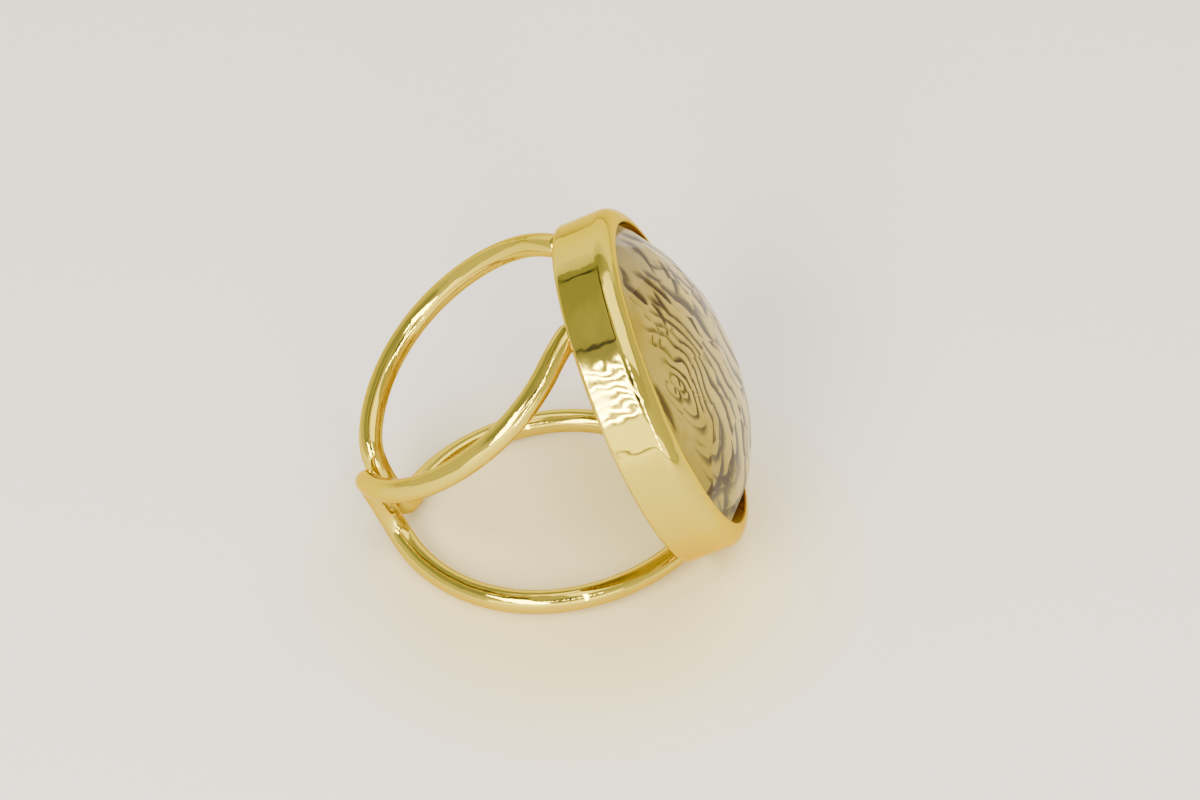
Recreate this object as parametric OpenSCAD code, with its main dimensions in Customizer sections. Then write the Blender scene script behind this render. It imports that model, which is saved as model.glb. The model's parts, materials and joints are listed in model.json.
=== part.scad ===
// A finger ring: a clear faceted dome over a shell disc, held in a round gold cup.
// Two hairpin loops of round wire carry the cup and meet side by side behind the finger.
// The ring lies as it does on a table, on the cup's lower rim and on both loops.
// Sizes are in millimetres. Each piece is first built with the cup's back on the plane X = 0,
// the stone towards +X and the finger along Z, and is then tipped over to lie down.

/* [Cup] */
// Outer diameter of the cup
cup_d = 24; // [22:0.5:26]
// Height of the cup, from its flat back to the top of its lip
cup_h = 4.1; // [3.8:0.1:4.6]
// Width of the wall round the stone
wall = 1.35; // [1.35:0.05:1.6]
// Thickness of the flat back
back_t = 1.1; // [1:0.1:1.3]

/* [Loops] */
// Diameter of the round wire
wire_d = 1.6; // [1.4:0.1:1.8]
// Radius of the wire's path round the finger
hoop_r = 8.95; // [8.6:0.05:9.5]
// Distance from the finger's centre to the cup's back
hoop_drop = 8.2; // [7.8:0.1:8.4]
// Half of the height of a loop's rounded end
loop_end_h = 2.7; // [2.2:0.1:3]
// How much a leg rises for each millimetre along it
leg_rise = 0.334; // [0.3:0.002:0.35]

/* [Stone] */
// Height of the dome's table above the cup's lip
dome_h = 3.32; // [3:0.02:3.8]
// Number of facets in each row round the table
facets = 12; // [8:1:20]
// Thickness of the shell disc
shell_t = 1.6; // [1.2:0.1:1.7]
// Gap round and between the set pieces
gap = 0.05; // [0.03:0.01:0.08]

/* [Hidden] */
$fn = 96;

gold = "#dcc67c";
shell = "#c9b98a";
crystal = [0.94, 0.93, 0.87, 0.4];

cup_r = cup_d / 2;
wire_r = wire_d / 2;
back_round = 0.3;
lip_round = 1.2;
lip_inner_round = 0.12;
set_r = cup_r - wall - gap;

// The wire's path, by the length along it from the middle of a loop's end. The ends lean
// outwards, sag a little, and lie side by side, one slightly behind the other.
wire_sides = 16;
leg_steps = 34;
end_lean = 0.75;
end_sag = 0.45;
end_stagger = 0.3;
end_reach = 5.45;
end_turn = 2.16;
solder_bite = 0.1;
end_gap = sqrt(pow(wire_d - solder_bite, 2) - pow(2 * end_stagger, 2));
end_side = end_gap / 2 * hoop_r / (hoop_r + end_lean);

// Near the cup each leg bends in to meet it, and sinks a little way into its back
leg_bend_l = 2.5;
leg_bend = 0.55;
leg_tuck = 0.25;
leg_bite = 0.2;
cut_round = 0.3;
leg_stop = acos((hoop_drop + leg_bite - leg_bend) / hoop_r);
leg_l = hoop_r * (180 - leg_stop) * PI / 180 - end_side;

function fade(s) = exp(-s / end_reach);
function bend(s) = pow(max(0, 1 - (leg_l - s) / leg_bend_l), 2);
function leg_height(s) =
    loop_end_h * sqrt(1 - exp(-end_turn * s)) + leg_rise * s - leg_tuck * bend(s);
function wire_point(s, up, side) =
    let (turn = 180 - (end_side + s) / hoop_r * 180 / PI,
         r = hoop_r + (end_lean - side * end_stagger) * fade(s))
    [r * cos(turn) - hoop_drop + leg_bend * bend(s), side * r * sin(turn),
     up * leg_height(s) - end_sag * fade(s)];
function step_length(i) = leg_l * (1 - cos(180 * i / leg_steps)) / 2;
function wire_path(side) =
    [for (i = [-leg_steps : leg_steps]) wire_point(step_length(abs(i)), sign(i), side)];
function wire_girth(i) =
    let (round_in = max(0, 1 - (leg_l - step_length(abs(i))) / cut_round))
    wire_r - cut_round + cut_round * sqrt(1 - round_in * round_in);

// The angle at which the cup's lower rim and the lowest stretch of the loops both touch the table
rim = [back_round, 0, back_round - cup_r];
function lie_angle(p) =
    let (d = p - rim) 180 - atan2(d.z, d.x) - asin((wire_r - back_round) / norm([d.x, d.z]));
try_step = 0.25;
lie = min([for (s = [0 : try_step : leg_l]) lie_angle(wire_point(s, -1, -1))]);
lift = (cup_r - back_round) * cos(lie) - back_round * sin(lie) + back_round;

// The dome's rows of facets, from the table outwards. The rows are turned by half a facet from
// each other. The radii are those of a stone as wide as the last row, and grow or shrink with
// the stone. A plane is given by its height on the dome's axis and by how much it falls for each
// millimetre outwards.
table_r = 2.4;
//            ends  falls
facet_rows = [[4.8,  0.21],
              [7.0,  0.40],
              [9.0,  0.61],
              [10.6, 0.98]];
ENDS = 0;
FALLS = 1;
base_x = back_t + shell_t + 2 * gap;
half_facet = 180 / facets;
dome_scale = set_r / facet_rows[len(facet_rows) - 1][ENDS];
function row_start_r(j) = dome_scale * (j == 0 ? table_r : facet_rows[j - 1][ENDS]);
function row_start_x(j) = j == 0 ? cup_h + dome_h
    : row_start_x(j - 1) - (row_start_r(j) - row_start_r(j - 1)) * facet_rows[j - 1][FALLS];
planes = concat(
    [[cup_h + dome_h, 0]],
    [for (j = [0 : len(facet_rows) - 1]) let (falls = facet_rows[j][FALLS])
        [row_start_x(j) + falls * row_start_r(j), falls]],
    [[base_x, 0]]);
HEIGHT = 0;
SLOPE = 1;

// The corner between one row's planes and the next row's, over the middle of a facet of either
function corner(j, k) =
    let (a = planes[j], b = planes[j + 1], shrink = cos(half_facet), upper = (k - j) % 2 == 0,
         r = (b[HEIGHT] - a[HEIGHT])
             / (upper ? b[SLOPE] * shrink - a[SLOPE] : b[SLOPE] - a[SLOPE] * shrink),
         x = upper ? a[HEIGHT] - a[SLOPE] * r : b[HEIGHT] - b[SLOPE] * r)
    [x, r * sin(k * half_facet), r * cos(k * half_facet)];

// Where the middle of the ring is, once it lies, from the middle of the cup's back: halfway
// between the loops' ends and the dome's furthest corner
function lying_x(p) = p.x * cos(lie) - p.z * sin(lie);
ends_x = min([for (s = [0 : try_step : leg_l]) lying_x(wire_point(s, 1, -1))]) - wire_r;
dome_x = max([for (j = [0 : len(planes) - 3], k = [0 : 2 * facets - 1]) lying_x(corner(j, k))]);
mid_x = (ends_x + dome_x) / 2;

module laid_down() {
    translate([-mid_x, 0, lift]) rotate([0, -lie, 0]) children();
}

// A quarter circle of points about a centre, from one angle to another
arc_steps = 6;
function arc(centre, r, from, to) =
    [for (i = [0 : arc_steps]) let (a = from + (to - from) * i / arc_steps)
        centre + r * [cos(a), sin(a)]];

module cup() {
    inner_r = cup_r - wall;
    outline = concat(
        [[0, 0]],
        arc([cup_r - back_round, back_round], back_round, -90, 0),
        arc([cup_r - lip_round, cup_h - lip_round], lip_round, 0, 90),
        arc([inner_r + lip_inner_round, cup_h - lip_inner_round], lip_inner_round, 90, 180),
        [[inner_r, back_t], [0, back_t]]);
    rotate([0, 90, 0]) rotate_extrude() polygon(outline);
}

function unit(v) = v / norm(v);
// One ring of points round the wire's path
function wire_ring(path, i) =
    let (last = len(path) - 1,
         ahead = unit(path[min(i + 1, last)] - path[max(i - 1, 0)]),
         out = unit(cross(ahead, cross([path[i].x + hoop_drop, path[i].y, 0], ahead))),
         over = cross(ahead, out))
    [for (k = [0 : wire_sides - 1]) let (a = 360 * k / wire_sides)
        path[i] + wire_girth(i - leg_steps) * (cos(a) * out + sin(a) * over)];

module wire_loop(side) {
    path = wire_path(side);
    last = len(path) - 1;
    walls = [for (i = [0 : last - 1], k = [0 : wire_sides - 1])
        let (a = i * wire_sides + k, b = i * wire_sides + (k + 1) % wire_sides)
        [b, a, a + wire_sides, b + wire_sides]];
    caps = [[for (k = [0 : wire_sides - 1]) k],
            [for (k = [wire_sides - 1 : -1 : 0]) last * wire_sides + k]];
    polyhedron([for (i = [0 : last]) each wire_ring(path, i)], concat(walls, caps), convexity = 6);
}

module ring_mount() {
    color(gold) laid_down() {
        cup();
        for (side = [-1, 1]) wire_loop(side);
    }
}

module shell_disc() {
    color(shell) laid_down()
        translate([back_t + gap, 0, 0]) rotate([0, 90, 0]) cylinder(h = shell_t, r = set_r);
}

// The dome before its edge is rounded off
module faceted_dome() {
    rows = len(planes) - 2;
    around = 2 * facets;
    function at(j, k) = j * around + (k + around) % around;
    table = [for (k = [0 : 2 : around - 1]) at(0, k)];
    base = [for (k = [around - 1 : -2 : 0]) at(rows, k)];
    sides = [for (j = [1 : rows], i = [0 : facets - 1]) let (k = 2 * i + j % 2)
        [at(j - 1, k + 1), if (j > 1) at(j - 1, k), at(j - 1, k - 1),
         at(j, k - 1), if (j < rows) at(j, k), at(j, k + 1)]];
    polyhedron([for (j = [0 : rows], k = [0 : around - 1]) corner(j, k)],
        concat([table, base], sides), convexity = 2);
}

module crystal_dome() {
    color(crystal) laid_down() intersection() {
        faceted_dome();
        translate([base_x, 0, 0]) rotate([0, 90, 0]) cylinder(h = cup_h + dome_h, r = set_r);
    }
}

ring_mount();
shell_disc();
crystal_dome();
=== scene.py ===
import json
import math
import bmesh
import bpy
from mathutils import Matrix, Vector


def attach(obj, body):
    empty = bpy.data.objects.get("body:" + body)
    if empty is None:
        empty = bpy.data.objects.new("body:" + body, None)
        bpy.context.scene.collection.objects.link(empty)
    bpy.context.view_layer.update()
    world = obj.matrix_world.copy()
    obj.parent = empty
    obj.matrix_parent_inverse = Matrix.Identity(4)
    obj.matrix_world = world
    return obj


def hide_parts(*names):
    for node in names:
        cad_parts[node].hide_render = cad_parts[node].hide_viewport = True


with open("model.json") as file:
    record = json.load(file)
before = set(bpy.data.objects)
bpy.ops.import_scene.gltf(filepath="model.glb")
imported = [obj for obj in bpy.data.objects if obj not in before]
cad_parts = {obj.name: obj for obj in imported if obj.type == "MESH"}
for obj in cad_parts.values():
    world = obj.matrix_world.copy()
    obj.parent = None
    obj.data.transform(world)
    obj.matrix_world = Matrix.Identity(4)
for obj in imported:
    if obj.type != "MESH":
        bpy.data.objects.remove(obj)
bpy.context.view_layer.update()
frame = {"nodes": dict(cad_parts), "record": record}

# A ring lying on a table: gold cup and wire loops, shell disc, crystal dome. The sizes in the
# dictionaries are millimetres, and those of the gold and the crystal are the CAD model's.
mm = 0.001
touching = 1e-5  # points this close are merged
nearly = 1e-3  # how well a point has to fit the edge that is looked for

# The ring's own axes: x out of the stone from the cup's back, y across the finger, z along it.
# The mount on the stone's flat table gives their place.
tableHeight = 7.42
table = next(mount for mount in frame["record"]["mounts"] if mount["name"] == "table")
stoneWay = Vector(table["axis"]).normalized()
acrossWay = Vector((0, 1, 0))
ringPlace = Matrix((stoneWay, acrossWay, stoneWay.cross(acrossWay))).transposed().to_4x4()
ringPlace.translation = Vector(table["pos_m"]) - stoneWay * tableHeight * mm


def hexColour(code):
    # sRGB to linear, with an alpha of one
    values = [int(code[i:i + 2], 16) / 255 for i in (1, 3, 5)]
    return [v / 12.92 if v <= 0.04045 else ((v + 0.055) / 1.055) ** 2.4 for v in values] + [1.0]


def addNode(tree, kind, inputs=(), **settings):
    # One node with its settings and links. Inputs go by name, or in the order of the sockets in
    # use, and a node given as an input stands for its first output in use.
    node = tree.nodes.new("ShaderNode" + kind)
    for key, value in settings.items():
        setattr(node, key, value)
    if isinstance(inputs, dict):
        sockets = [node.inputs[name] for name in inputs]
        inputs = inputs.values()
    else:
        sockets = [socket for socket in node.inputs if socket.enabled]
    for socket, value in zip(sockets, inputs):
        if isinstance(value, bpy.types.Node):
            value = next(output for output in value.outputs if output.enabled)
        if isinstance(value, bpy.types.NodeSocket):
            tree.links.new(value, socket)
        else:
            socket.default_value = value
    return node


def newMaterial(name):
    material = bpy.data.materials.new(name)
    material.use_nodes = True
    material.node_tree.nodes.clear()
    return material, material.node_tree


def ringCoordinates(tree):
    # Millimetres on the ring's own axes
    coords = addNode(tree, "TexCoord").outputs["Object"]
    return addNode(tree, "Mapping", [coords, ringPlace.translation, ringPlace.to_euler(), (mm, mm, mm)],
                   vector_type="TEXTURE")


def roundEdges(bm, edges, size, segments):
    bmesh.ops.bevel(bm, geom=edges, offset=size, offset_type="OFFSET", segments=segments, profile=0.5,
                    affect="EDGES", material=-1)


def layDown(bm):
    # From millimetres on the ring's own axes to metres on the table
    bmesh.ops.scale(bm, vec=(mm, mm, mm), verts=bm.verts)
    bmesh.ops.transform(bm, matrix=ringPlace, verts=bm.verts)


def addObject(name, data):
    item = bpy.data.objects.new(name, data)
    bpy.context.collection.objects.link(item)
    return item


def addMesh(name, bm, material):
    mesh = bpy.data.meshes.new(name)
    bm.to_mesh(mesh)
    bm.free()
    mesh.materials.append(material)
    return addObject(name, mesh)


def addPiece(name, bm, material, node, smooth=True):
    piece = addMesh(name, bm, material)
    for face in piece.data.polygons:
        face.use_smooth = smooth
    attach(piece, "root")
    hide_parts(node)
    return piece


print("camera")
# Fitted to the photo. The turn is from the y axis, in degrees.
cameraSettings = dict(aim=(3.29, -0.61, 11.15), turn=3.767, elevation=40.80, roll=-1.787,
                      distance=364.35, lens=165)


def addCamera(settings):
    turn = math.radians(settings["turn"])
    elevation = math.radians(settings["elevation"])
    level = Vector((math.sin(turn), math.cos(turn), 0))
    forward = level * math.cos(elevation) - Vector((0, 0, math.sin(elevation)))
    roll = Matrix.Rotation(math.radians(settings["roll"]), 4, "Z")
    place = forward.to_track_quat("-Z", "Y").to_matrix().to_4x4() @ roll
    place.translation = (Vector(settings["aim"]) - forward * settings["distance"]) * mm
    camera = addObject("camera", bpy.data.cameras.new("camera"))
    camera.matrix_world = place
    camera.data.lens = settings["lens"]
    bpy.context.scene.camera = camera


addCamera(cameraSettings)

print("lamps")
# Soft boxes, with their power in watts, and rows of small lamps up both sides of the opening that
# the camera looks through. Those make the ladder of bright bars on the cup.
lightSettings = dict(
    colour="#fff7eb",
    softboxes={
        "roof": dict(at=(150, 40, 430), size=(460, 460), power=1.9),
        "backWall": dict(at=(0, 430, 180), size=(860, 340), power=0.85),
        "front": dict(at=(-40, -420, 75), size=(760, 130), power=0.95),
    },
    ledGlow=2.8e-4,  # watts for each square millimetre
    ledStrips={
        "left": dict(first=(-151, -339, 150), last=(-200, -165, 270), count=7, size=(100, 8)),
        "middle": dict(first=(-101, -351, 166), last=(-160, -190, 300), count=7, size=(50, 8)),
        "right": dict(first=(93, -438, 39), last=(44, -207, 397), count=12, size=(18, 18)),
        "under": dict(first=(-160, -350, 300), last=(150, -350, 300), count=12, size=(14, 10)),
    },
)


def addLamp(name, at, size, power):
    light = bpy.data.lights.new(name, "AREA")
    light.shape = "RECTANGLE"
    light.size, light.size_y = (side * mm for side in size)
    light.energy = power
    light.color = hexColour(lightSettings["colour"])[:3]
    lamp = addObject(name, light)
    lamp.location = Vector(at) * mm
    lamp.rotation_euler = (-lamp.location).to_track_quat("-Z", "Y").to_euler()


def addStrip(name, first, last, count, size):
    for i in range(count):
        at = Vector(first).lerp(Vector(last), i / (count - 1))
        addLamp(f"{name}{i}", at, size, lightSettings["ledGlow"] * size[0] * size[1])


for name, softbox in lightSettings["softboxes"].items():
    addLamp(name, **softbox)
for name, strip in lightSettings["ledStrips"].items():
    addStrip(name, **strip)

print("light tent")
# The white tent round the ring: bright low walls, a dimmer band above them that turns brighter on
# the right, a bright roof, a dim patch, the dark hole for the lens, and the dark joints of the
# upper left panel. Heights and widths are those of a direction of length one. Inner and outer are
# degrees.
tentSettings = dict(
    wallColour="#fff7eb", bandColour="#eceff4",
    wall=1.25, wallTop=0.44, wallFade=0.12,
    band=0.64, bandRight=0.95, bandTurn=0.35, bandTop=0.78, bandFade=0.14,
    roof=1.0,
    dim=0.9, dimWay=(0.893, 0.157, 0.423), dimInner=20, dimOuter=50,
    hole=0.03, holeWay=(-0.05, -0.755, 0.654), holeInner=7, holeOuter=10,
    seamDark=0.85, seamLean=0.38, topWidth=0.07,  # the joint along the panel's top
    seamMiddle=0.17, seamReach=0.43, seamWidth=0.016, seamAbove=0.5,  # those down its ends
)


def panelSeams(tree, way, settings):
    # The joint along the panel's top, and those down both of its ends
    across, along, height = way.outputs
    side = addNode(tree, "Math", [height, settings["seamLean"], across], operation="MULTIPLY_ADD")
    offset = addNode(tree, "Math", [along, settings["seamMiddle"]], operation="SUBTRACT")
    reach = addNode(tree, "Math", [offset], operation="ABSOLUTE")
    nearTop = addNode(tree, "Math", [side, 0, settings["topWidth"]], operation="COMPARE")
    between = addNode(tree, "Math", [reach, settings["seamReach"]], operation="LESS_THAN")
    top = addNode(tree, "Math", [nearTop, between], operation="MULTIPLY")
    nearEnd = addNode(tree, "Math", [reach, settings["seamReach"], settings["seamWidth"]],
                      operation="COMPARE")
    leftOfTop = addNode(tree, "Math", [side, settings["seamWidth"]], operation="LESS_THAN")
    ends = addNode(tree, "Math", [nearEnd, leftOfTop], operation="MULTIPLY")
    above = addNode(tree, "Math", [height, settings["seamAbove"]], operation="GREATER_THAN")
    ends = addNode(tree, "Math", [ends, above], operation="MULTIPLY")
    return addNode(tree, "Math", [top, ends], operation="MAXIMUM")


def lightTent(settings):
    world = bpy.data.worlds.new("light tent")
    bpy.context.scene.world = world
    world.use_nodes = True
    tree = world.node_tree
    tree.nodes.clear()
    coords = addNode(tree, "TexCoord").outputs["Generated"]
    way = addNode(tree, "SeparateXYZ", [coords])
    height = way.outputs["Z"]
    wallTop, bandTop = settings["wallTop"], settings["bandTop"]
    band = addNode(tree, "MapRange", [way.outputs["X"], 0, settings["bandTurn"],
                                      settings["band"], settings["bandRight"]])
    lower = addNode(tree, "MapRange", [height, wallTop, wallTop + settings["wallFade"],
                                       settings["wall"], band])
    step = addNode(tree, "Math", [settings["roof"], band], operation="SUBTRACT")
    upper = addNode(tree, "MapRange", [height, bandTop, bandTop + settings["bandFade"], 0, step])
    level = addNode(tree, "Math", [lower, upper], operation="ADD")
    inBand = addNode(tree, "MapRange", [level, settings["band"], settings["roof"], 1, 0])
    colour = addNode(tree, "Mix", [inBand, hexColour(settings["wallColour"]),
                                   hexColour(settings["bandColour"])], data_type="RGBA")
    for name in ("dim", "hole"):
        towards = addNode(tree, "VectorMath", [coords, settings[name + "Way"]],
                          operation="DOT_PRODUCT")
        outer, inner = (math.cos(math.radians(settings[name + end])) for end in ("Outer", "Inner"))
        share = addNode(tree, "MapRange", [towards, outer, inner, 1, settings[name]])
        level = addNode(tree, "Math", [level, share], operation="MULTIPLY")
    seams = panelSeams(tree, way, settings)
    share = addNode(tree, "Math", [seams, -settings["seamDark"], 1], operation="MULTIPLY_ADD")
    level = addNode(tree, "Math", [level, share], operation="MULTIPLY")
    addNode(tree, "OutputWorld", [addNode(tree, "Background", [colour, level])])


lightTent(tentSettings)

print("floor")
# White card, matt, so that it shows soft shadows and no reflection of the ring. Close to the ring
# the card's colour is painted warm, a painted glow for the light that the gold throws onto it
floorSettings = dict(size=3000, colour="#e4e1da", roughness=0.6, paintedGlow="#e6d9a6", paintedGlowAt=(2, -5, 0),
                     paintedGlowFrom=8, paintedGlowTo=24)


def addFloor(settings):
    material, tree = newMaterial("white card")
    coords = addNode(tree, "TexCoord").outputs["Object"]
    # Painted glow: the card turns warm close to the ring, for the light thrown by the gold
    offset = addNode(tree, "VectorMath", [coords, Vector(settings["paintedGlowAt"]) * mm],
                     operation="SUBTRACT")
    distance = addNode(tree, "VectorMath", [offset], operation="LENGTH")
    near = addNode(tree, "MapRange", [distance, settings["paintedGlowFrom"] * mm, settings["paintedGlowTo"] * mm,
                                      1, 0], interpolation_type="SMOOTHSTEP")
    colour = addNode(tree, "Mix", [near, hexColour(settings["colour"]), hexColour(settings["paintedGlow"])],
                     data_type="RGBA")
    shader = addNode(tree, "BsdfPrincipled",
                     {"Base Color": colour, "Roughness": settings["roughness"]})
    addNode(tree, "OutputMaterial", [shader])
    bm = bmesh.new()
    bmesh.ops.create_grid(bm, x_segments=2, y_segments=2, size=settings["size"] / 2 * mm)
    addMesh("floor", bm, material)


addFloor(floorSettings)

print("gold cup")
# Gold plate over brass, polished by hand: a warm mirror with slow waves and duller patches, under a
# thin clear lacquer. The polish leaves hairlines about 0.02 mm apart, drawn coarser here so that
# they show. Inside the cup, round the stone, the wall is painted dark brown: painted shade in the gap.
goldSettings = dict(
    colour="#ceb93c", edge="#f3dd7a",
    sharp=0.05, dull=0.15, patchSize=1.8, patchSpread=(0.45, 0.7),  # roughness, and its patches
    coat=0.1, coatRoughness=0.45,  # the lacquer
    waveSize=3.2, waveDepth=0.09,
    rippleSize=1.1, rippleDepth=0.004,
    hairSize=0.25, hairDepth=0.0008,
    # Painted shade: dark brown on the cup's inner wall round the stone, where the gap lies in shade
    paintedGapShade="#5a3208", paintedGapShadeRadius=(10.7, 10.82), paintedGapShadeHeight=(0.4, 0.6),
)


def goldMaterial(settings):
    material, tree = newMaterial("polished gold plate")
    coords = ringCoordinates(tree)
    under = {}
    for name in ("wave", "ripple", "hair"):
        height = addNode(tree, "TexNoise", {"Vector": coords, "Scale": 1 / settings[name + "Size"]})
        bump = addNode(tree, "Bump", {"Height": height, "Distance": settings[name + "Depth"] * mm,
                                      **under})
        under = {"Normal": bump}
    parts = addNode(tree, "SeparateXYZ", [coords])
    flat = addNode(tree, "CombineXYZ", [0, parts.outputs["Y"], parts.outputs["Z"]])
    radius = addNode(tree, "VectorMath", [flat], operation="LENGTH")
    # Painted shade on the cup's inner wall round the stone, above the cup's back
    inside = addNode(tree, "MapRange", [radius, *settings["paintedGapShadeRadius"], 1, 0])
    above = addNode(tree, "MapRange", [parts.outputs["X"], *settings["paintedGapShadeHeight"]])
    paintedGapShade = addNode(tree, "Math", [inside, above], operation="MULTIPLY")
    colour = addNode(tree, "Mix", [paintedGapShade, hexColour(settings["colour"]), hexColour(settings["paintedGapShade"])],
                     data_type="RGBA")
    patches = addNode(tree, "TexNoise", {"Vector": coords, "Scale": 1 / settings["patchSize"]})
    roughness = addNode(tree, "MapRange", [patches, *settings["patchSpread"], settings["sharp"],
                                           settings["dull"]])
    shader = addNode(tree, "BsdfPrincipled", {
        "Base Color": colour, "Metallic": 1.0, "Roughness": roughness,
        "Specular Tint": hexColour(settings["edge"]), "Coat Weight": settings["coat"],
        "Coat Roughness": settings["coatRoughness"], "Normal": bump})
    addNode(tree, "OutputMaterial", [shader])
    return material


gold = goldMaterial(goldSettings)

cupSettings = dict(radius=12.0, height=4.1, wall=1.35, back=1.1, steps=160,
                   lipRound=1.2, lipSegments=10, innerRound=0.12, innerSegments=4,
                   backRound=0.3, backSegments=5)


def goldCup(settings):
    radius, height, back = settings["radius"], settings["height"], settings["back"]
    inner = radius - settings["wall"]
    outline = [(0, 0), (0, radius), (height, radius), (height, inner), (back, inner), (back, 0)]
    bm = bmesh.new()
    verts = [bm.verts.new((x, 0, r)) for x, r in outline]
    edges = [bm.edges.new(pair) for pair in zip(verts, verts[1:])]
    bmesh.ops.spin(bm, geom=verts + edges, cent=(0, 0, 0), axis=(1, 0, 0), angle=math.tau,
                   steps=settings["steps"], use_merge=True)
    bmesh.ops.remove_doubles(bm, verts=bm.verts, dist=touching)
    bmesh.ops.recalc_face_normals(bm, faces=bm.faces)

    def isAt(vert, x, r):
        return abs(vert.co.x - x) < nearly and abs(math.hypot(vert.co.y, vert.co.z) - r) < nearly

    for name, x, r in (("lip", height, radius), ("inner", height, inner), ("back", 0, radius)):
        ring = [e for e in bm.edges if all(isAt(v, x, r) for v in e.verts)]
        roundEdges(bm, ring, settings[name + "Round"], settings[name + "Segments"])
    layDown(bm)
    piece = addPiece("goldCup", bm, gold, "ring_mount")
    piece.modifiers.new("even shading", "WEIGHTED_NORMAL")


goldCup(cupSettings)

print("wire loops")
# Two hairpins of round wire that mirror each other. Each goes round the finger from one leg on the
# cup's back to the other, and its rounded end leans out, sags a little and lies beside the other's.
loopSettings = dict(
    wire=1.6, hoop=8.95, drop=8.2, steps=90, resolution=12,  # drop: finger's middle to cup's back
    endHeight=2.7, turn=2.16, rise=0.334,  # how far a leg stands off the middle
    lean=0.75, sag=0.45, stagger=0.3, reach=5.45, solderBite=0.1,  # the rounded end
    bend=0.55, bendLength=2.5, tuck=0.25, legBite=0.2, cutRound=0.3,  # the leg at the cup
)


def wirePath(settings, side):
    # Point and thickness at every step along a loop, from the end of one leg to that of the other
    hoop, drop, wire = settings["hoop"], settings["drop"], settings["wire"]
    apart = math.sqrt((wire - settings["solderBite"]) ** 2 - (2 * settings["stagger"]) ** 2)
    endSide = apart / 2 * hoop / (hoop + settings["lean"])
    legStop = math.acos((drop + settings["legBite"] - settings["bend"]) / hoop)
    legLength = hoop * (math.pi - legStop) - endSide
    steps = settings["steps"]
    for i in range(-steps, steps + 1):
        along = legLength * (1 - math.cos(math.pi * abs(i) / steps)) / 2
        up = (i > 0) - (i < 0)
        fade = math.exp(-along / settings["reach"])
        turn = math.pi - (endSide + along) / hoop
        r = hoop + (settings["lean"] - side * settings["stagger"]) * fade
        bend = max(0, 1 - (legLength - along) / settings["bendLength"]) ** 2
        height = settings["endHeight"] * math.sqrt(1 - math.exp(-settings["turn"] * along))
        height += settings["rise"] * along - settings["tuck"] * bend
        place = Vector((r * math.cos(turn) - drop + settings["bend"] * bend,
                        side * r * math.sin(turn),
                        up * height - settings["sag"] * fade))
        roundIn = max(0, 1 - (legLength - along) / settings["cutRound"])
        thinner = settings["cutRound"] * (1 - math.sqrt(1 - roundIn ** 2))
        yield place, 1 - thinner / (wire / 2)


def loopCurve(settings, side):
    curve = bpy.data.curves.new("loop", "CURVE")
    curve.dimensions = "3D"
    curve.bevel_depth = settings["wire"] / 2 * mm
    curve.bevel_resolution = settings["resolution"]
    curve.use_fill_caps = True
    spline = curve.splines.new("POLY")
    spline.points.add(2 * settings["steps"])
    for point, (place, thickness) in zip(spline.points, wirePath(settings, side)):
        point.co = (*(ringPlace @ (place * mm)), 1)
        point.radius = thickness
    return curve


def wireLoop(name, settings, side):
    route = addObject("route", loopCurve(settings, side))
    bpy.context.view_layer.update()
    depsgraph = bpy.context.evaluated_depsgraph_get()
    mesh = bpy.data.meshes.new_from_object(route.evaluated_get(depsgraph))
    bpy.data.objects.remove(route)
    bm = bmesh.new()
    bm.from_mesh(mesh)
    bmesh.ops.remove_doubles(bm, verts=bm.verts, dist=touching * mm)
    bmesh.ops.recalc_face_normals(bm, faces=bm.faces)
    addPiece(name, bm, gold, "ring_mount")


wireLoop("nearLoop", loopSettings, -1)
wireLoop("farLoop", loopSettings, 1)

print("solder")
# A low mound on the cup's back round each of the four legs. Its middle lies between the leg's end
# and the point inStep steps along it, and a little further in, clear of the cup's rim.
solderSettings = dict(foot=0.95, neck=0.7, height=0.42, sides=48, roundOff=0.2, segments=6,
                      sink=0.05, inStep=12, inFrom=0.75, inward=0.4)


def solderMounds(settings):
    bm = bmesh.new()
    for side in (-1, 1):
        path = [place for place, thickness in wirePath(loopSettings, side)]
        for leg in (path, path[::-1]):
            middle = leg[0].lerp(leg[settings["inStep"]], settings["inFrom"]).yz
            middle -= middle.normalized() * settings["inward"]
            at = Matrix.Translation((settings["sink"] - settings["height"] / 2, *middle))
            mound = bmesh.ops.create_cone(bm, cap_ends=True, segments=settings["sides"],
                                          radius1=settings["foot"], radius2=settings["neck"],
                                          depth=settings["height"],
                                          matrix=at @ Matrix.Rotation(-math.pi / 2, 4, "Y"))
            top = min(vert.co.x for vert in mound["verts"])
            rim = [e for e in bm.edges
                   if all(v in mound["verts"] and v.co.x < top + nearly for v in e.verts)]
            roundEdges(bm, rim, settings["roundOff"], settings["segments"])
    layDown(bm)
    piece = addPiece("solderMounds", bm, gold, "ring_mount")
    piece.modifiers.new("even shading", "WEIGHTED_NORMAL")


solderMounds(solderSettings)

print("shell")
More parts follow.
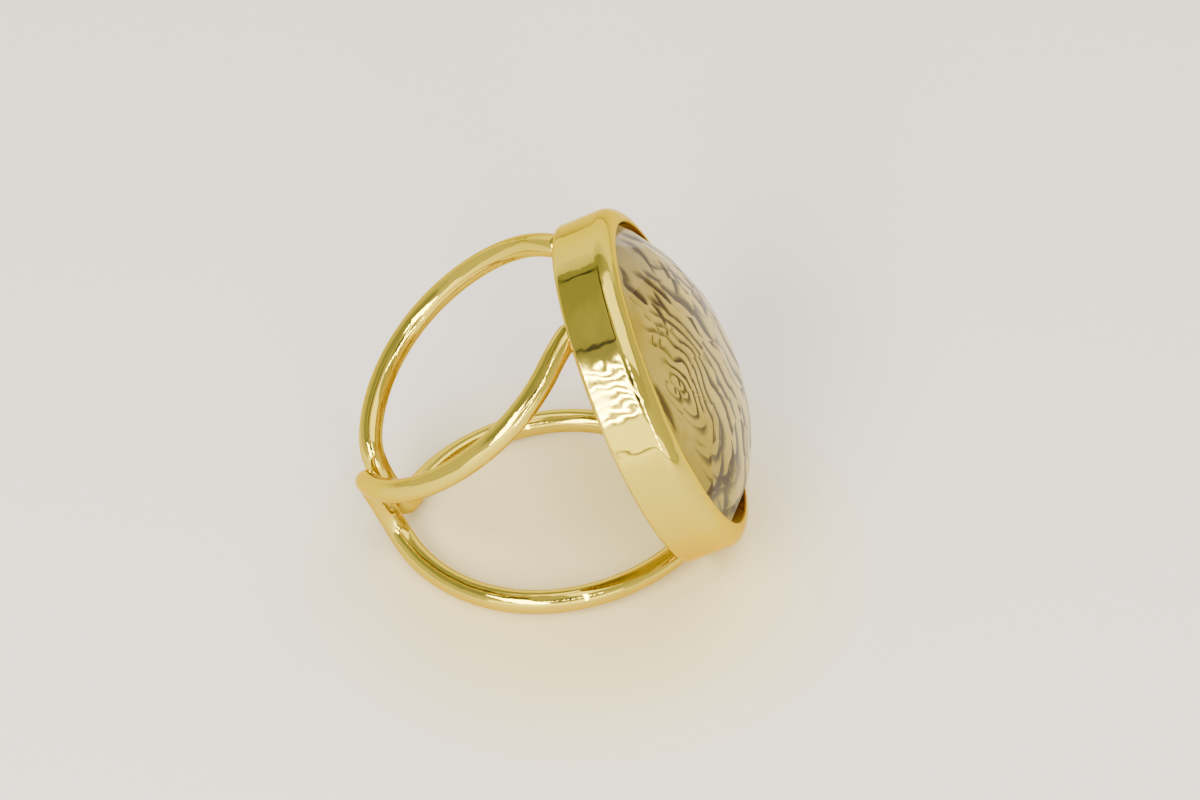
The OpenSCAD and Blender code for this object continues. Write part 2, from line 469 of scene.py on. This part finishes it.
# A slice of abalone shell, ground flat and polished: cream to olive layers with dark growth lines,
# each crisp along one edge and fading across. Nested layers wrap an eye that lies off the middle,
# and the real ones are finer than those drawn. A spread is where a tint starts, where it is full,
# and how much of it there is then. Places and ways are across the finger and along it.
shellSettings = dict(
    ground="#a08c24", roughness=0.3,
    pale="#b9a64c", paleSpread=(0.4, 0.65, 1), paleSize=4.5,  # clouds
    dusk="#877b62", duskSpread=(3.5, 7.5, 0.8), duskWay=(0.7, 0.7),  # one greyer side
    grain="#b9a64c", grainSpread=(0.35, 0.75, 0.35), grainSize=0.5, grainDetail=4,  # fine streaks
    # Painted reflection: one side of the shell is paler, for the light that the crystal's facets
    # reflect
    light="#cdbb74", lightSpread=(-1, 5, 1), lightWay=(0.8, -0.6),  # one paler side
    brown="#2c1c0a", lilac="#352922",  # the lines
    warp=1.5, warpSize=4.0, fine=0.13, fineSize=0.9,  # how far the lines wander
    eye=(-3.7, 2.3), eyeLong=2.1, eyeSize=2.0, eyeCore=(0.35, 0.5),
    growth=1.22, crisp=0.03, fade=(0.19, 0.5), lilacShare=0.7,  # the nested layers
    breakSize=2.6, breakSpread=(0.3, 0.42),  # where they break
    clearWay=(-0.75, 0.66), clearFrom=(1.2, -0.6),  # the side without them
    plainWay=(-0.25, 1), plainFrom=(6, 4.5),  # the top without them
    lineFade=(0.7, 1.5), lineEnds=0.4,
    # The longer lines, each of which bows out by a fraction of its length
    lines=(
        dict(start=(4.4, 8.0), end=(2.4, 4.5), bow=0.20, wide=0.80, dark=1.0, tint="lilac"),
        dict(start=(5.4, 3.8), end=(2.6, 2.7), bow=0.05, wide=0.70, dark=1.0, tint="lilac"),
        dict(start=(1.8, 8.3), end=(-0.3, 8.0), bow=0.10, wide=0.90, dark=0.9, tint="brown"),
        dict(start=(0.0, 8.2), end=(-0.1, 5.4), bow=-0.15, wide=0.80, dark=1.0, tint="brown"),
        dict(start=(0.3, 5.6), end=(-0.9, 3.5), bow=0.10, wide=0.60, dark=1.0, tint="brown"),
        dict(start=(1.9, 5.1), end=(0.8, 2.7), bow=-0.15, wide=0.60, dark=1.0, tint="brown"),
        dict(start=(6.0, 1.7), end=(3.1, -0.2), bow=0.10, wide=0.70, dark=1.0, tint="lilac"),
        dict(start=(-1.5, 4.5), end=(-2.6, 4.2), bow=-0.25, wide=0.15, dark=1.0, tint="brown"),
        dict(start=(-3.9, 6.8), end=(-4.4, 6.6), bow=0.00, wide=0.20, dark=0.7, tint="brown"),
        dict(start=(-3.1, 2.5), end=(-4.0, 1.9), bow=0.00, wide=0.25, dark=1.0, tint="lilac"),
        dict(start=(-5.5, 5.0), end=(-7.3, 1.2), bow=-0.05, wide=0.90, dark=0.9, tint="brown"),
        dict(start=(-2.4, -1.6), end=(-4.6, -2.3), bow=0.10, wide=0.25, dark=1.0, tint="brown"),
        dict(start=(-3.0, -2.6), end=(-9.2, -2.5), bow=0.14, wide=0.75, dark=1.0, tint="lilac"),
        dict(start=(-5.4, -4.0), end=(-7.4, -6.2), bow=0.10, wide=1.00, dark=1.0, tint="lilac"),
    ),
)


def growthLine(tree, coords, line, settings):
    # One longer line, thinner towards both ends
    start, end = Vector(line["start"]), Vector(line["end"])
    half = (end - start) / 2
    turn = math.atan2(half.y, half.x)
    onLine = addNode(tree, "Mapping", [coords, (0, *(start + half)), (turn, 0, 0),
                                       (1, half.length, 1)], vector_type="TEXTURE")
    parts = addNode(tree, "SeparateXYZ", [onLine])
    along, aside = parts.outputs["Y"], parts.outputs["Z"]
    squared = addNode(tree, "Math", [along, along], operation="MULTIPLY")
    bow = line["bow"] * half.length * 2
    route = addNode(tree, "Math", [squared, -bow, bow], operation="MULTIPLY_ADD")
    across = addNode(tree, "Math", [aside, route], operation="SUBTRACT")
    crisp = addNode(tree, "MapRange", [across, -settings["crisp"], settings["crisp"]])
    thinned = addNode(tree, "Math", [squared, line["wide"], across], operation="MULTIPLY_ADD")
    fadeFrom, fadeTo = (edge * line["wide"] for edge in settings["lineFade"])
    soft = addNode(tree, "MapRange", [thinned, fadeFrom, fadeTo, 1, 0])
    ends = addNode(tree, "MapRange", [squared, settings["lineEnds"], 1, line["dark"], 0],
                   interpolation_type="SMOOTHSTEP")
    mask = addNode(tree, "Math", [crisp, soft], operation="MULTIPLY")
    return addNode(tree, "Math", [mask, ends], operation="MULTIPLY")


def nestedLines(tree, coords, settings):
    # Layer after layer round the eye, each wider than the last. They break here and there, and
    # leave out the eye's core, one side of it, and the slice's top. The large scale flattens the
    # depth.
    fromEye = addNode(tree, "Mapping", [coords, (0, *settings["eye"]), (0, 0, 0),
                                        (1e6, 1, settings["eyeLong"])], vector_type="TEXTURE")
    distance = addNode(tree, "VectorMath", [fromEye], operation="LENGTH")
    grown = addNode(tree, "Math", [distance, 1 / settings["eyeSize"], 1], operation="MULTIPLY_ADD")
    count = addNode(tree, "Math", [grown, settings["growth"]], operation="LOGARITHM")
    layer = addNode(tree, "Math", [count], operation="FRACT")
    noise = addNode(tree, "TexNoise", {"Vector": coords, "Scale": 1 / settings["breakSize"]})
    side = addNode(tree, "VectorMath", [fromEye, (0, *settings["clearWay"])],
                   operation="DOT_PRODUCT")
    top = addNode(tree, "VectorMath", [coords, (0, *settings["plainWay"])], operation="DOT_PRODUCT")
    mask = addNode(tree, "MapRange", [layer, 0, settings["crisp"]])
    for where in ([layer, *settings["fade"], 1, 0],
                  [noise, *settings["breakSpread"]],
                  [distance, *settings["eyeCore"]],
                  [side, *settings["clearFrom"]],
                  [top, *settings["plainFrom"]]):
        part = addNode(tree, "MapRange", where)
        mask = addNode(tree, "Math", [mask, part], operation="MULTIPLY")
    return mask


def wandering(tree, coords, size, reach):
    # The coordinates, each moved aside by a smooth random amount
    noise = addNode(tree, "TexNoise", {"Vector": coords, "Scale": 1 / size, "Detail": 1})
    centred = addNode(tree, "VectorMath", [noise.outputs["Color"], (0.5, 0.5, 0.5)],
                      operation="SUBTRACT")
    drift = addNode(tree, "VectorMath", [centred, 2 * reach], operation="SCALE")
    return addNode(tree, "VectorMath", [coords, drift], operation="ADD")


def shellMaterial(settings):
    material, tree = newMaterial("polished abalone shell")
    coords = ringCoordinates(tree)
    fine = wandering(tree, coords, settings["fineSize"], settings["fine"])
    wide = wandering(tree, fine, settings["warpSize"], settings["warp"])
    patches = addNode(tree, "TexNoise", {"Vector": coords, "Scale": 1 / settings["paleSize"]})
    duskSide = addNode(tree, "VectorMath", [wide, (0, *settings["duskWay"])],
                       operation="DOT_PRODUCT")
    grain = addNode(tree, "TexNoise", {"Vector": wide, "Scale": 1 / settings["grainSize"],
                                       "Detail": settings["grainDetail"]})
    # Painted reflection: the shell turns paler towards one side, for the light the crystal's facets
    # reflect
    paintedReflectionSide = addNode(tree, "VectorMath", [wide, (0, *settings["lightWay"])],
                        operation="DOT_PRODUCT")
    colour = hexColour(settings["ground"])
    for tint, where in (("pale", patches), ("dusk", duskSide), ("grain", grain),
                        ("light", paintedReflectionSide)):
        start, end, share = settings[tint + "Spread"]
        mask = addNode(tree, "MapRange", [where, start, end, 0, share])
        colour = addNode(tree, "Mix", [mask, colour, hexColour(settings[tint])], data_type="RGBA")
    nested = nestedLines(tree, wide, settings)
    faint = addNode(tree, "Math", [nested, settings["lilacShare"]], operation="MULTIPLY")
    for tint, mask in (("lilac", faint), ("brown", nested)):
        for line in settings["lines"]:
            if line["tint"] == tint:
                drawn = growthLine(tree, fine, line, settings)
                mask = addNode(tree, "Math", [mask, drawn], operation="MAXIMUM")
        colour = addNode(tree, "Mix", [mask, colour, hexColour(settings[tint])], data_type="RGBA")
    shader = addNode(tree, "BsdfPrincipled",
                     {"Base Color": colour, "Roughness": settings["roughness"]})
    addNode(tree, "OutputMaterial", [shader])
    return material


shell = shellMaterial(shellSettings)
shellDisc = frame["nodes"]["shell_disc"]
shellDisc.data.materials.clear()
shellDisc.data.materials.append(shell)

print("crystal")
# Rock crystal, cut and polished: clear, nearly without a colour of its own, and its flat facets
# break the shell's lines up. A row of facets is given by where it ends and how steeply it falls.
# An edge is rounded where the faces on both its sides lean at least leastLean towards the table.
crystalSettings = dict(
    colour="#fffdf6", shine="#e0cf9f", shadow="#f4f2ea", ior=1.544,
    quiet=0.45,  # the part of the shine that is left out
    radius=10.6, base=2.8, sides=192, facets=12, tableRadius=2.4,
    rows=((4.8, 0.21), (7.0, 0.40), (9.0, 0.61), (10.6, 0.98)),
    edgeRound=0.03, edgeSegments=2, leastLean=0.2,
)


def crystalMaterial(settings):
    material, tree = newMaterial("polished rock crystal")
    colour = hexColour(settings["colour"])
    glossy = addNode(tree, "BsdfPrincipled", {
        "Base Color": colour, "Transmission Weight": 1.0, "IOR": settings["ior"], "Roughness": 0.0,
        "Specular Tint": hexColour(settings["shine"])})
    # Without a shine of its own, as under a polarising filter, because the full one veils the shell
    quiet = addNode(tree, "BsdfRefraction",
                    {"Color": colour, "IOR": settings["ior"], "Roughness": 0.0})
    body = addNode(tree, "MixShader", [settings["quiet"], glossy, quiet])
    # Light goes straight through to the shell, which would lie in the dark otherwise
    clear = addNode(tree, "BsdfTransparent", {"Color": hexColour(settings["shadow"])})
    isShadow = addNode(tree, "LightPath").outputs["Is Shadow Ray"]
    addNode(tree, "OutputMaterial", [addNode(tree, "MixShader", [isShadow, body, clear])])
    return material


def facetedCrystal(settings):
    base, height = settings["base"], tableHeight - settings["base"]
    bm = bmesh.new()
    middle = Matrix.Translation((base + height / 2, 0, 0))
    bmesh.ops.create_cone(bm, cap_ends=True, segments=settings["sides"],
                          radius1=settings["radius"], radius2=settings["radius"], depth=height,
                          matrix=middle @ Matrix.Rotation(math.pi / 2, 4, "Y"))
    startR, startX = settings["tableRadius"], tableHeight
    for row, (endR, falls) in enumerate(settings["rows"], 1):
        for i in range(settings["facets"]):
            turn = Matrix.Rotation((2 * i + row % 2) * math.pi / settings["facets"], 4, "X")
            cut = bmesh.ops.bisect_plane(bm, geom=bm.verts[:] + bm.edges[:] + bm.faces[:],
                                         dist=touching, clear_outer=True,
                                         plane_co=turn @ Vector((startX, 0, startR)),
                                         plane_no=turn.to_3x3() @ Vector((1, 0, falls)))
            rim = [g for g in cut["geom_cut"] if isinstance(g, bmesh.types.BMEdge)]
            bmesh.ops.contextual_create(bm, geom=rim)
        startR, startX = endR, startX - (endR - startR) * falls
    bmesh.ops.recalc_face_normals(bm, faces=bm.faces)
    edges = [e for e in bm.edges
             if all(face.normal.x > settings["leastLean"] for face in e.link_faces)]
    roundEdges(bm, edges, settings["edgeRound"], settings["edgeSegments"])
    layDown(bm)
    # The real shell is glued to the base, so the base shows the shell's own pattern
    glued = min(bm.faces, key=lambda face: face.calc_center_median().dot(stoneWay))
    glued.material_index = 1
    piece = addPiece("facetedCrystal", bm, crystalMaterial(settings), "crystal_dome",
                     smooth=False)
    piece.data.materials.append(shell)


facetedCrystal(crystalSettings)
